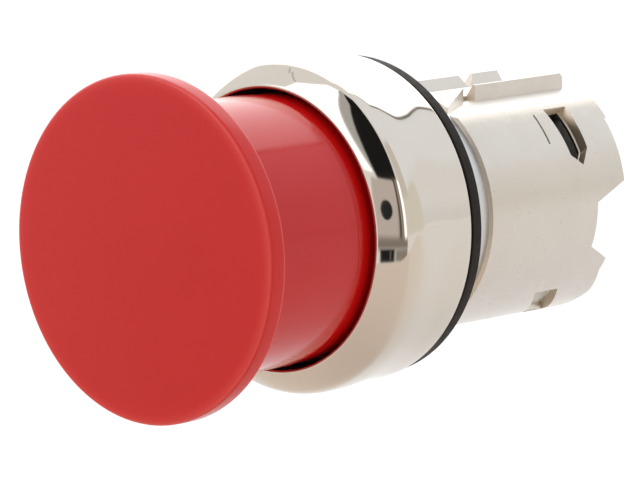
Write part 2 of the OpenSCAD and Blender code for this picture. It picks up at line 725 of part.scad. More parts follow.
mushroom_cap();
cap_insert();
lock_washer();
stem();
bezel();
dust_wiper();
barrel();
panel_gasket();
guide_bush();
stem_seal();
seal_retainer();
stop_buffer();
latch_carrier();
latch_spring();
toggle_seat_right();
toggle_seat_left();
toggle_lever_right();
toggle_lever_left();
carrier_retainer();
pusher();
pusher_washer();
pusher_clip();
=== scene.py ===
import json
import math

import bmesh
import bpy
from mathutils import Matrix, Vector


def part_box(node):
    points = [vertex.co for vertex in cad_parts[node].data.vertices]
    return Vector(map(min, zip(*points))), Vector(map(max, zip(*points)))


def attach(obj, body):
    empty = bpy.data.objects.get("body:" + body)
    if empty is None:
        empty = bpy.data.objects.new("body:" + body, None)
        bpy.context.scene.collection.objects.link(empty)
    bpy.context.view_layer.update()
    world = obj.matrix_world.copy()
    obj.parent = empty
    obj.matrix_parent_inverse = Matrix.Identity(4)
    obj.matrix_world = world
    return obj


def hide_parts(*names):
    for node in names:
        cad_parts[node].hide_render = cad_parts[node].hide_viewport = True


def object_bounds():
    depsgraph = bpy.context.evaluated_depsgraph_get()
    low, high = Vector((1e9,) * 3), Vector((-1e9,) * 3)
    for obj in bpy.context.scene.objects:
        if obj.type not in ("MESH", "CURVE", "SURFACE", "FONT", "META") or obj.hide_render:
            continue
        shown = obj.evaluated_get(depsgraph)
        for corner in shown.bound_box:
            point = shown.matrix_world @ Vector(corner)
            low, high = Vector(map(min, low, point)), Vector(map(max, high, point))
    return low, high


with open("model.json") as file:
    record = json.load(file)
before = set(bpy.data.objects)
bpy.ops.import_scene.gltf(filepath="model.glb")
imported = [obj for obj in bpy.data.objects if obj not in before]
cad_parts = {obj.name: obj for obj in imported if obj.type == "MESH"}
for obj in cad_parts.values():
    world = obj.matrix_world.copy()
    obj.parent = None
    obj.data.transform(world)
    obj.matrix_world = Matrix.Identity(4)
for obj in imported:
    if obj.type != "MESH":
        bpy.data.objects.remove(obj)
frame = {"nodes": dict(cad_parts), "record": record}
cad_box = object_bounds()

# Sizes are in metres; MM turns a size in millimetres into metres
MM = 0.001

# View of the photograph: a long lens, a little above the head and from its front right
VIEW_AZIMUTH = 42.58
VIEW_ELEVATION = 8.86
VIEW_DISTANCE = 487.9 * MM
VIEW_TARGET = Vector((-2.405, -2.693, -2.208)) * MM
LENS_MM = 311.2
SENSOR_MM = 36.0
CLIP_START = 10 * MM

# The floor lies this far below the head, so that its shadow stays out of the photograph's view;
# its near edge, towards the camera, is mirrored by the bezel
FLOOR_DROP = 30 * MM
FLOOR_RADIUS = 1.2
FLOOR_REACH = 0.15
FLOOR_SEGMENTS = 96
# Places along the head's axis between which the floor's tone turns from pale to warm, painted as warm
# light on the floor in front
FLOOR_PALE = 25 * MM
FLOOR_WARM = -15 * MM
# Distances behind the head, along the view, between which the floor turns pale and then white
FLOOR_PALE_FROM = -20 * MM
FLOOR_PALE_TO = 30 * MM
FLOOR_WHITE_FROM = 60 * MM
FLOOR_WHITE_TO = 110 * MM
# Distances to either side of the view between which the white floor ends
FLOOR_SIDE_FROM = 110 * MM
FLOOR_SIDE_TO = 170 * MM

# Fineness of round shapes, and the angle from which an edge shades as sharp
AROUND = 256
FILLET_STEPS = 8
CROWN_STEPS = 40
SWEEP_STEPS = 24
SIDE_STEPS = 64
SHARP_ANGLE = 40.0
BEZEL_SHARP_ANGLE = 50.0

# Cap, in millimetres; places along the axis count from the panel, and the front is negative
RIM_T = 1.9
CROWN_H = 0.75
RIM_ROUND = 0.4
RIM_REAR_ROUND = 0.25
UNDER_FILLET = 1.2
SKIRT_R = 11.9
SKIRT_TIP_R = 11.75
SKIRT_TIP_L = 3.05
SKIRT_WALL = 1.7
TIP_EASE = 0.15
CAP_FRONT_T = 3.4
BOSS_R = 5.6
BOSS_END = -11.4
WASHER_ROOM_R = 4.8
WASHER_ROOM_END = -13.0
INSERT_R = 4.02
INSERT_END = -24.4
RIB_COUNT = 4
RIB_T = 1.2
RIB_L = 7.0
RIB_ROOT = 0.4

# Finish of the cap, in millimetres: how softly face, rim and skirt meet, and the painted highlight lines
# on the rim
RIM_BLEND = 0.2
SKIRT_BLEND_BEFORE = 0.1
SKIRT_BLEND_AFTER = 0.8
RIM_LINE_FRONT = 0.1
RIM_LINE_REAR = 0.2
RIM_LINE_W = 0.17
RIM_GLINT_STRENGTH = 0.8

# Bezel, in millimetres; slopes in degrees, 0 across the axis and 90 along it
LIP_R = 12.28
LIP_T = 1.2
LIP_ROUND = 0.26
RING_SLOPES = (38.3, 48.7)
EDGE_ROUND = 2.24
# Slopes of the side, by their share of the way from the front edge to the rear
SIDE_SLOPES = (
    (0.0, 86.5), (0.09, 89.0), (0.16, 91.6), (0.28, 94.6),
    (0.5, 94.0), (0.64, 92.2), (0.78, 90.8), (1.0, 92.6),
)
REAR_ROUND = 0.2
SLEEVE_R = 13.27

# Gasket and wiper, in millimetres
GASKET_BORE_R = 10.7
GASKET_ROUND = 0.12
GASKET_BULGE = 0.1
GASKET_RECESS = 0.65
GASKET_RECESS_W = 0.45
WIPER_BORE_R = 12.1
WIPER_ROUND = 0.35

# Soft edges of the cast barrel, in millimetres and degrees
CAST_EDGE = 0.08
CAST_WELD = 0.002
CAST_EDGE_ANGLE = 35.0
CAST_EDGE_SEGMENTS = 2

# Places on the barrel that have their own finish, in millimetres: the neck and the step behind it
NECK_END = 5.05
NECK_MARGIN = 0.02
STEP_MARGIN = 0.1
# The cut faces of slots and notches lie between these radii and below this height
CUT_IN_R = 9.7
CUT_OUT_R = 11.05
CUT_TOP = 8.5
# The lower slots lie below this height
POCKET_TOP = -6.5
# Upper slots: where their rear wall starts, the painted highlight on its inner edge, and heights of its
# upper end painted paler as lit
SLOT_WALL_Y = 17.5
SLOT_EDGE_IN_R = 9.95
SLOT_EDGE_OUT_R = 10.15
SLOT_PALE_FROM = 6.0
SLOT_PALE_TO = 8.3
SLOT_PALE_MOST = 0.7
# The scribed line's front half, painted dark as the shade in its groove
SCRIBE_FROM = 14.27
SCRIBE_TO = 14.41
SCRIBE_IN_R = 10.8

# How far a face has to look forwards or upwards to get the finish of such faces; upward faces are painted
# paler, as a painted highlight
FORWARD_SOME = -0.5
FORWARD_FULL = -0.9
SHELF_SOME = 0.9
SHELF_FULL = 0.96
# The end walls of slots look neither outwards nor along the axis by more than this
END_OUTWARD = 0.7
END_ALONG = 0.5
END_WEAR = 0.7

# Faces within this angle of the round count as round, outside and in the bores
ROUND_ANGLE = 10.0
ROUND_OUTSIDE_R = 10.5
ROUND_BORE_R = 8.0

WHITE = (1.0, 1.0, 1.0)


def grey(level):
    return (level, level, level)


def mm_box(node):
    """A node's lowest and highest corners, in millimetres."""
    low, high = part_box(node)
    return Vector(low) / MM, Vector(high) / MM


def arc(centre, radius, start, end, steps=FILLET_STEPS):
    """Points on an arc about a centre, angles in degrees."""
    points = []
    for i in range(steps + 1):
        a = math.radians(start + (end - start) * i / steps)
        points.append((centre[0] + radius * math.cos(a), centre[1] + radius * math.sin(a)))
    return points


def rounded(corners, steps=FILLET_STEPS):
    """A closed outline from corners of radius, place along the axis and rounding."""
    points = []
    for i, (r, y, size) in enumerate(corners):
        here = Vector((r, y))
        if size <= 0:
            points.append((r, y))
            continue
        before = (Vector(corners[i - 1][:2]) - here).normalized()
        after = (Vector(corners[(i + 1) % len(corners)][:2]) - here).normalized()
        half = before.angle(after) / 2
        reach = size / math.tan(half)
        middle = here + (before + after).normalized() * (size / math.sin(half))
        first = here + before * reach - middle
        last = here + after * reach - middle
        turn = first.angle_signed(last)
        start = math.atan2(first.y, first.x)
        for k in range(steps + 1):
            a = start - turn * k / steps
            points.append((middle.x + size * math.cos(a), middle.y + size * math.sin(a)))
    return points


def eased(table, x):
    """A value between the rows of a table of place and value, on a smooth curve through them."""
    last = len(table) - 1
    i = 0
    while i < last - 1 and x > table[i + 1][0]:
        i += 1

    def slope(k):
        before, after = table[max(k - 1, 0)], table[min(k + 1, last)]
        return (after[1] - before[1]) / (after[0] - before[0])

    (x0, v0), (x1, v1) = table[i], table[i + 1]
    width = x1 - x0
    t = (x - x0) / width
    low = v0 * (1 + 2 * t) * (1 - t) ** 2 + slope(i) * width * t * (1 - t) ** 2
    return low + v1 * (3 - 2 * t) * t ** 2 - slope(i + 1) * width * t ** 2 * (1 - t)


def swept(start, runs, steps=SWEEP_STEPS):
    """Points along runs of length, first slope and last slope, from a start of radius and place."""
    r, y = start
    points = [start]
    for length, first, last in runs:
        step = length / steps
        for i in range(steps):
            slope = math.radians(first + (last - first) * (i + 0.5) / steps)
            r += step * math.cos(slope)
            y += step * math.sin(slope)
            points.append((r, y))
    return points


def spun(name, outline, sharp=SHARP_ANGLE):
    """A piece turned about the head's axis from a closed outline of radius and place, in millimetres."""
    mesh = bpy.data.meshes.new(name)
    work = bmesh.new()
    rings = []
    for r, y in outline:
        if r < 1e-6:
            rings.append([work.verts.new((0, y * MM, 0))])
            continue
        ring = []
        for k in range(AROUND):
            a = 2 * math.pi * k / AROUND
            ring.append(work.verts.new((r * MM * math.sin(a), y * MM, r * MM * math.cos(a))))
        rings.append(ring)
    for i, ring in enumerate(rings):
        following = rings[(i + 1) % len(rings)]
        if len(ring) == 1 and len(following) == 1:
            continue
        for k in range(AROUND):
            n = (k + 1) % AROUND
            if len(ring) == 1:
                work.faces.new((ring[0], following[k], following[n]))
            elif len(following) == 1:
                work.faces.new((ring[k], following[0], ring[n]))
            else:
                work.faces.new((ring[k], following[k], following[n], ring[n]))
    bmesh.ops.recalc_face_normals(work, faces=work.faces)
    work.to_mesh(mesh)
    work.free()
    mesh.shade_smooth()
    mesh.set_sharp_from_angle(angle=math.radians(sharp))
    piece = bpy.data.objects.new(name, mesh)
    bpy.context.scene.collection.objects.link(piece)
    return piece


class Nodes:
    """Short ways to add nodes to a node tree."""

    def __init__(self, tree):
        self.tree = tree

    def node(self, kind, **values):
        made = self.tree.nodes.new(kind)
        for key, value in values.items():
            setattr(made, key, value)
        return made

    def link(self, output, socket):
        self.tree.links.new(output, socket)

    def fill(self, socket, value):
        """Sets a socket to a number or a colour, or links it to an output."""
        if isinstance(value, (int, float)):
            socket.default_value = value
        elif isinstance(value, tuple):
            socket.default_value = (*value, 1)
        else:
            self.link(value, socket)

    def math(self, operation, a, b=0.0):
        made = self.node("ShaderNodeMath", operation=operation)
        self.fill(made.inputs[0], a)
        self.fill(made.inputs[1], b)
        return made.outputs[0]

    def product(self, first, *others):
        """1 where all of these masks are 1."""
        for other in others:
            first = self.math("MULTIPLY", first, other)
        return first

    def most(self, first, *others):
        """The strongest of these masks."""
        for other in others:
            first = self.math("MAXIMUM", first, other)
        return first

    def opposite(self, mask):
        return self.math("SUBTRACT", 1.0, mask)

    def parts(self, vector):
        """A vector's X, Y and Z."""
        made = self.node("ShaderNodeSeparateXYZ")
        self.link(vector, made.inputs[0])
        return made.outputs["X"], made.outputs["Y"], made.outputs["Z"]

    def mix(self, kind, amount, first, second):
        """A mix of two numbers (FLOAT), colours (RGBA) or directions (VECTOR)."""
        made = self.node("ShaderNodeMix", data_type=kind)
        self.link(amount, made.inputs["Factor"])
        self.fill(made.inputs["A"], first)
        self.fill(made.inputs["B"], second)
        return made.outputs["Result"]


class Surface(Nodes):
    """A procedural material with one principled shader, and short ways to add detail to it."""

    def __init__(self, name, color, metallic=0.0, roughness=0.5, ior=1.5):
        self.material = bpy.data.materials.new(name)
        self.material.use_nodes = True
        super().__init__(self.material.node_tree)
        self.shader = self.tree.nodes["Principled BSDF"]
        self.shader.inputs["Base Color"].default_value = (*color, 1)
        self.shader.inputs["Metallic"].default_value = metallic
        self.shader.inputs["Roughness"].default_value = roughness
        self.shader.inputs["IOR"].default_value = ior
        self.place = self.node("ShaderNodeTexCoord").outputs["Object"]
        self.normal = None

    def stretched(self, scale):
        """Place, with each direction scaled by itself."""
        made = self.node("ShaderNodeMapping")
        made.inputs["Scale"].default_value = scale
        self.link(self.place, made.inputs["Vector"])
        return made.outputs[0]

    def noise(self, size_mm, detail=2.0, place=None):
        """Noise whose grains are about this size, from 0 to 1."""
        made = self.node("ShaderNodeTexNoise")
        made.inputs["Scale"].default_value = 1 / (size_mm * MM)
        made.inputs["Detail"].default_value = detail
        self.link(place or self.place, made.inputs["Vector"])
        return made.outputs["Fac"]

    def along(self):
        """Place along the head's axis, in metres."""
        return self.parts(self.place)[1]

    def toward(self, direction):
        """Place along a direction, in metres."""
        made = self.node("ShaderNodeVectorMath", operation="DOT_PRODUCT")
        self.link(self.place, made.inputs[0])
        made.inputs[1].default_value = direction
        return made.outputs["Value"]

    def radius(self):
        """Distance from the head's axis, in metres."""
        x, _, z = self.parts(self.place)
        x2 = self.math("MULTIPLY", x, x)
        z2 = self.math("MULTIPLY", z, z)
        return self.math("SQRT", self.math("ADD", x2, z2))

    def above(self, value, edge_mm):
        """1 where a place or radius lies above an edge."""
        return self.math("GREATER_THAN", value, edge_mm * MM)

    def under(self, value, edge_mm):
        """1 where a place or radius lies under an edge."""
        return self.math("LESS_THAN", value, edge_mm * MM)

    def true_normal(self):
        """The direction a face looks in, without any smoothing."""
        return self.node("ShaderNodeNewGeometry").outputs["True Normal"]

    def vector(self, operation, a, b=None):
        made = self.node("ShaderNodeVectorMath", operation=operation)
        self.link(a, made.inputs[0])
        if b is not None:
            self.link(b, made.inputs["Scale" if operation == "SCALE" else 1])
        return made.outputs["Value" if operation == "DOT_PRODUCT" else "Vector"]

    def outward(self):
        """The direction away from the head's axis."""
        spread = self.node("ShaderNodeVectorMath", operation="MULTIPLY")
        self.link(self.place, spread.inputs[0])
        spread.inputs[1].default_value = (1, 0, 1)
        return self.vector("NORMALIZE", spread.outputs["Vector"])

    def turned_faces(self):
        """Shades faces that run round the axis as round and others as flat; 1 on the round ones."""
        outward = self.outward()
        flat = self.true_normal()
        along = self.vector("DOT_PRODUCT", flat, outward)
        side = self.math("SIGN", along)
        limit = math.cos(math.radians(ROUND_ANGLE))
        near = self.math("GREATER_THAN", self.math("ABSOLUTE", along), limit)
        reach = self.math("MULTIPLY", self.radius(), side)
        outside = self.above(reach, ROUND_OUTSIDE_R)
        inside = self.under(reach, -ROUND_BORE_R)
        turned = self.product(near, self.most(outside, inside))
        self.normal = self.mix("VECTOR", turned, flat, self.vector("SCALE", outward, side))
        return turned

    def worn_edge(self, mask):
        """Shades the faces under a mask as an edge turned half way round to the outside."""
        half = self.vector("NORMALIZE", self.vector("ADD", self.true_normal(), self.outward()))
        self.normal = self.mix("VECTOR", mask, self.normal, half)

    def mapped(self, value, from_low, from_high, to_low, to_high, smooth=False):
        """A value carried from one range to another, and held at its ends."""
        made = self.node("ShaderNodeMapRange", clamp=True)
        if smooth:
            made.interpolation_type = "SMOOTHSTEP"
        self.link(value, made.inputs["Value"])
        made.inputs["From Min"].default_value = from_low
        made.inputs["From Max"].default_value = from_high
        made.inputs["To Min"].default_value = to_low
        made.inputs["To Max"].default_value = to_high
        return made.outputs["Result"]

    def grain(self, size_mm, detail, low, high):
        """Noise spread between two values, for roughness."""
        return self.mapped(self.noise(size_mm, detail), 0.3, 0.7, low, high)

    def color(self, output):
        self.link(output, self.shader.inputs["Base Color"])

    def roughness(self, output):
        self.link(output, self.shader.inputs["Roughness"])

    def bump(self, height, depth_mm, strength):
        """Adds relief to what is there already."""
        made = self.node("ShaderNodeBump")
        made.inputs["Distance"].default_value = depth_mm * MM
        made.inputs["Strength"].default_value = strength
        self.link(height, made.inputs["Height"])
        if self.normal is not None:
            self.link(self.normal, made.inputs["Normal"])
        self.normal = made.outputs["Normal"]
        self.link(self.normal, self.shader.inputs["Normal"])


def red_plastic():
    """Moulded red plastic: a fine satin face, a rim painted paler as if lit, with painted highlight lines
    along its edges, and a glossier skirt.
    """
    made = Surface("red_plastic", (0.55, 0.008, 0.007), ior=1.43)
    low, _ = mm_box("mushroom_cap")
    rim_front = low.y + CROWN_H
    rim_rear = rim_front + RIM_T
    rim_blend = ((rim_front - RIM_BLEND) * MM, (rim_front + RIM_BLEND) * MM)
    skirt_blend = ((rim_rear - SKIRT_BLEND_BEFORE) * MM, (rim_rear + SKIRT_BLEND_AFTER) * MM)
    rim = made.mapped(made.along(), *rim_blend, 0.0, 1.0, smooth=True)
    skirt = made.mapped(made.along(), *skirt_blend, 0.0, 1.0, smooth=True)
    face = made.mix("RGBA", made.noise(9.0, 3.0), (0.535, 0.0075, 0.0065), (0.565, 0.0095, 0.0085))
    # Painted light: the rim is a paler red than the face, as if lit
    edge = made.mix("RGBA", rim, face, (0.61, 0.0085, 0.0075))
    red = made.mix("RGBA", skirt, edge, (0.57, 0.006, 0.006))
    # Painted highlights: thin paler lines along the rim's front and rear edges
    for line in (rim_front + RIM_LINE_FRONT, rim_rear - RIM_LINE_REAR):
        away = made.math("ABSOLUTE", made.math("SUBTRACT", made.along(), line * MM))
        rim_glint = made.mapped(away, 0.0, RIM_LINE_W * MM, RIM_GLINT_STRENGTH, 0.0, smooth=True)
        red = made.mix("RGBA", rim_glint, red, (0.74, 0.075, 0.065))
    made.color(red)
    satin = made.mix("FLOAT", rim, made.grain(0.6, 3.0, 0.40, 0.48), 0.24)
    made.roughness(made.mix("FLOAT", skirt, satin, made.grain(2.5, 3.0, 0.09, 0.15)))
    made.bump(made.noise(0.12, 2.0), 0.004, 0.35)
    made.bump(made.noise(3.0, 1.0), 0.012, 0.25)
    return made.material


def polished_nickel():
    """Mirror polished nickel plate with slight waves."""
    made = Surface("polished_nickel", (0.665, 0.61, 0.54), metallic=1.0, roughness=0.05)
    made.color(made.mix("RGBA", made.noise(6.0, 3.0), (0.655, 0.60, 0.525), (0.675, 0.62, 0.555)))
    made.roughness(made.mapped(made.noise(1.2, 4.0), 0.35, 0.75, 0.035, 0.075))
    made.bump(made.noise(0.9, 2.0), 0.002, 0.18)
    return made.material


def satin_nickel():
    """Nickel plated zinc casting: satin with soft clouds, paler on the neck, dull in the cuts, with
    painted light on upward faces and painted light and shade in the slots and on the scribed line.
    """
    made = Surface("satin_nickel", (0.66, 0.61, 0.55), metallic=1.0, roughness=0.3)
    turned = made.turned_faces()
    _, y, z = made.parts(made.place)
    _, looks_y, looks_z = made.parts(made.true_normal())
    looks_out = made.vector("DOT_PRODUCT", made.true_normal(), made.outward())
    reach = made.radius()
    # Neck, the step behind it, and faces by the way they look
    forward = made.mapped(looks_y, FORWARD_FULL, FORWARD_SOME, 1.0, 0.0)
    # Upward faces are painted paler, as a painted highlight
    lit_shelf = made.mapped(looks_z, SHELF_SOME, SHELF_FULL, 0.0, 1.0)
    neck = made.under(y, NECK_END - NECK_MARGIN)
    step = made.product(forward, made.under(y, NECK_END + STEP_MARGIN))
    # Cut faces, and the lower slots among them
    low = made.under(z, CUT_TOP)
    shallow = made.under(reach, CUT_OUT_R)
    cut = made.product(made.above(reach, CUT_IN_R), shallow, low, made.opposite(turned))
    pocket = made.product(cut, made.under(z, POCKET_TOP))
    # Painted shade: the lower slots' forward facing wall is darker
    shaded_pocket_wall = made.product(pocket, forward)
    # Rear wall of the upper slots, painted as shaded, with a painted dark inner part, a painted highlight
    # on its inner edge and its upper end painted paler as lit
    shaded_slot_wall = made.product(forward, made.above(y, SLOT_WALL_Y), low)
    slot_inner_shade = made.product(shaded_slot_wall, made.under(reach, SLOT_EDGE_OUT_R))
    slot_edge_highlight = made.product(slot_inner_shade, made.above(reach, SLOT_EDGE_IN_R))
    height = (SLOT_PALE_FROM * MM, SLOT_PALE_TO * MM)
    slot_lit_top = made.product(shaded_slot_wall, made.mapped(z, *height, 0.0, SLOT_PALE_MOST, smooth=True))
    # End walls of both kinds of slot
    upright = made.math("LESS_THAN", made.math("ABSOLUTE", looks_out), END_OUTWARD)
    across = made.math("LESS_THAN", made.math("ABSOLUTE", looks_y), END_ALONG)
    end_wall = made.product(cut, upright, across)
    # Painted light: the end walls of the lower slots are paler
    lit_pocket_end = made.product(end_wall, pocket)
    slot_end = made.product(end_wall, made.above(z, SLOT_PALE_FROM))
    # Front half of the scribed line, painted dark as the shade in its groove
    scribe_width = made.product(made.above(y, SCRIBE_FROM), made.under(y, SCRIBE_TO))
    scribe_shade = made.product(scribe_width, made.above(reach, SCRIBE_IN_R), shallow, low)

    ends = made.math("MULTIPLY", made.most(lit_pocket_end, slot_end), END_WEAR)
    made.worn_edge(made.most(ends, step, slot_edge_highlight, slot_lit_top))
    color = made.mix("RGBA", made.noise(4.0, 4.0), (0.63, 0.575, 0.51), (0.69, 0.64, 0.58))
    rough = made.grain(0.8, 4.0, 0.2, 0.28)
    # Tones by mask: painted shade on the slot wall, its inner part, the pocket wall and the scribed line;
    # painted light on the slot's edge and upper end, the pocket's ends and upward faces
    for mask, tone, dullness in (
        (neck, (0.68, 0.68, 0.69), 0.4),
        (forward, (0.78, 0.67, 0.55), 0.6),
        (cut, (0.96, 0.88, 0.77), 0.55),
        (pocket, (0.64, 0.61, 0.55), 0.55),
        (shaded_pocket_wall, (0.58, 0.53, 0.41), 0.55),
        (lit_pocket_end, (0.88, 0.84, 0.77), 0.5),
        (slot_end, (0.66, 0.58, 0.47), 0.5),
        (shaded_slot_wall, (0.55, 0.46, 0.36), 0.45),
        (slot_lit_top, (0.80, 0.71, 0.57), 0.45),
        (slot_inner_shade, (0.06, 0.05, 0.04), 0.55),
        (slot_edge_highlight, (0.86, 0.80, 0.71), 0.4),
        (scribe_shade, (0.09, 0.07, 0.06), 0.6),
        (step, (0.80, 0.73, 0.63), 0.5),
        (lit_shelf, (0.90, 0.88, 0.85), 0.48),
    ):
        color = made.mix("RGBA", mask, color, tone)
        rough = made.mix("FLOAT", mask, rough, dullness)
    made.color(color)
    made.roughness(rough)
    lines = made.noise(0.5, 2.0, made.stretched((1.0, 0.03, 1.0)))
    made.bump(lines, 0.006, 0.25)
    made.bump(made.noise(1.4, 3.0), 0.02, 0.2)
    made.bump(made.noise(0.18, 2.0), 0.003, 0.15)
    return made.material


def rubber():
    """Black moulded rubber with a dull bloom."""
    made = Surface("black_rubber", (0.016, 0.011, 0.010), roughness=0.55)
    made.shader.inputs["Specular IOR Level"].default_value = 0.2
    made.color(made.mix("RGBA", made.noise(1.5, 4.0), (0.013, 0.009, 0.008), (0.020, 0.014, 0.0125)))
    made.roughness(made.grain(0.5, 3.0, 0.45, 0.62))
    made.bump(made.noise(0.15, 3.0), 0.006, 0.4)
    return made.material


def turned_metal(name, dark, light, low_rough, high_rough):
    """Turned metal with fine rings round the axis."""
    made = Surface(name, light, metallic=1.0, roughness=high_rough)
    rings = made.node("ShaderNodeTexNoise", noise_dimensions="2D")
    rings.inputs["Scale"].default_value = 1 / (0.12 * MM)
    rings.inputs["Detail"].default_value = 2.0
    place = made.node("ShaderNodeCombineXYZ")
    made.link(made.radius(), place.inputs["X"])
    made.link(made.along(), place.inputs["Y"])
    made.link(place.outputs[0], rings.inputs["Vector"])
    made.color(made.mix("RGBA", made.noise(1.5, 3.0), dark, light))
    made.roughness(made.grain(0.6, 3.0, low_rough, high_rough))
    made.bump(rings.outputs["Fac"], 0.006, 0.35)
    return made.material


def moulded_plastic(name, dark, light):
    """Plain moulded plastic with a fine grain."""
    made = Surface(name, light, roughness=0.45)
    made.color(made.mix("RGBA", made.noise(2.0, 3.0), dark, light))
    made.roughness(made.grain(0.7, 3.0, 0.38, 0.52))
    made.bump(made.noise(0.14, 2.0), 0.005, 0.35)
    return made.material


def build_cap():
    """The mushroom cap with its skirt, its boss and its inner ribs."""
    low, high = mm_box("mushroom_cap")
    top, rim_r, tip = low.y, high.x, high.y
    rim_front = top + CROWN_H
    rim_rear = rim_front + RIM_T
    skirt_end = tip - SKIRT_TIP_L
    hollow_r = SKIRT_TIP_R - SKIRT_WALL
    hollow_roof = top + CAP_FRONT_T
    edge_r = rim_r - RIM_ROUND
    crown_r = (edge_r ** 2 + CROWN_H ** 2) / (2 * CROWN_H)
    crown_angle = math.degrees(math.asin(edge_r / crown_r))
    outline = [(0.0, top)]
    outline += arc((0, top + crown_r), crown_r, -90, -90 + crown_angle, CROWN_STEPS)[1:]
    outline += arc((edge_r, rim_front + RIM_ROUND), RIM_ROUND, -90 + crown_angle, 0)[1:]
    outline += arc((rim_r - RIM_REAR_ROUND, rim_rear - RIM_REAR_ROUND), RIM_REAR_ROUND, 0, 90)
    outline += arc((SKIRT_R + UNDER_FILLET, rim_rear + UNDER_FILLET), UNDER_FILLET, 270, 180)
    outline += arc((SKIRT_TIP_R, skirt_end - TIP_EASE), TIP_EASE, 0, 90)
    outline += [
        (SKIRT_TIP_R, tip), (hollow_r, tip), (hollow_r, hollow_roof), (BOSS_R, hollow_roof),
        (BOSS_R, BOSS_END), (WASHER_ROOM_R, BOSS_END), (WASHER_ROOM_R, WASHER_ROOM_END),
        (INSERT_R, WASHER_ROOM_END), (INSERT_R, INSERT_END), (0.0, INSERT_END),
    ]
    cap = spun("cap", outline)
    add_ribs(cap.data, hollow_r, hollow_roof)
    return cap


def add_ribs(mesh, hollow_r, hollow_roof):
    """Ribs between the cap's boss and its skirt, run into the walls at their ends."""
    work = bmesh.new()
    work.from_mesh(mesh)
    inner, outer = BOSS_R - RIB_ROOT, hollow_r + RIB_ROOT
    front, rear = hollow_roof - RIB_ROOT, hollow_roof + RIB_L
    size = Matrix.Diagonal((outer - inner, rear - front, RIB_T, 1))
    middle = Matrix.Translation(((inner + outer) / 2, (front + rear) / 2, 0))
    for turn in range(RIB_COUNT):
        spin = Matrix.Rotation(math.radians(360 / RIB_COUNT * turn), 4, "Y")
        bmesh.ops.create_cube(work, size=1, matrix=Matrix.Scale(MM, 4) @ spin @ middle @ size)
    work.to_mesh(mesh)
    work.free()


def build_bezel():
    """The polished bezel: a crowned front ring, a soft edge and a side with a slight waist."""
    low, high = mm_box("bezel")
    front, rear, outer = low.y, high.y, high.x
    first, last = RING_SLOPES
    side_first = SIDE_SLOPES[0][1]
    edge_width = EDGE_ROUND * (1 - math.sin(math.radians(last)))
    edge_length = EDGE_ROUND * math.radians(side_first - last)
    ring_start = (
        LIP_R + LIP_ROUND * (1 + math.sin(math.radians(first))),
        front + LIP_ROUND * (1 - math.cos(math.radians(first))),
    )
    ring_width = outer - edge_width - ring_start[0]
    ring_length = ring_width / math.cos(math.radians((first + last) / 2))
    face = swept(ring_start, [(ring_length, first, last), (edge_length, last, side_first)])
    step = (rear - REAR_ROUND - face[-1][1]) / SIDE_STEPS
    runs = []
    for i in range(SIDE_STEPS):
        here, following = i / SIDE_STEPS, (i + 1) / SIDE_STEPS
        runs.append((step, eased(SIDE_SLOPES, here), eased(SIDE_SLOPES, following)))
    side = swept(face[-1], runs, steps=1)
    rear_r, rear_y = side[-1]
    outline = [(SLEEVE_R, rear), (SLEEVE_R, front + LIP_T), (LIP_R, front + LIP_T)]
    outline += arc((LIP_R + LIP_ROUND, front + LIP_ROUND), LIP_ROUND, 180, 270 + first)[:-1]
    outline += face + side[1:]
    outline += arc((rear_r - REAR_ROUND, rear_y), REAR_ROUND, 0, 90)[1:]
    return spun("bezel_ring", outline, BEZEL_SHARP_ANGLE)


def build_gasket():
    """The flat rubber gasket between bezel and panel, with a fine recess beside the bezel."""
    low, high = mm_box("panel_gasket")
    outer = high.x + GASKET_BULGE
    recess_r = outer - GASKET_RECESS
    recess_y = low.y + GASKET_RECESS_W
    outline = rounded([
        (GASKET_BORE_R, low.y, 0), (recess_r, low.y, 0), (recess_r, recess_y, 0),
        (outer, recess_y, GASKET_ROUND), (outer, high.y, GASKET_ROUND), (GASKET_BORE_R, high.y, 0),
    ])
    return spun("gasket_ring", outline)


def build_wiper():
    """The dust wiper behind the bezel's lip."""
    low, high = mm_box("dust_wiper")
    outline = rounded([
        (WIPER_BORE_R, low.y, WIPER_ROUND), (high.x, low.y, 0),
        (high.x, high.y, 0), (WIPER_BORE_R, high.y, WIPER_ROUND),
    ])
    return spun("wiper_ring", outline)


def soften(node):
    """Small rounded edges on a cast CAD node, by modifiers alone."""
    weld = node.modifiers.new("weld", "WELD")
    weld.merge_threshold = CAST_WELD * MM
    bevel = node.modifiers.new("edges", "BEVEL")
    bevel.width = CAST_EDGE * MM
    bevel.segments = CAST_EDGE_SEGMENTS
    bevel.limit_method = "ANGLE"
    bevel.angle_limit = math.radians(CAST_EDGE_ANGLE)
    bevel.harden_normals = True


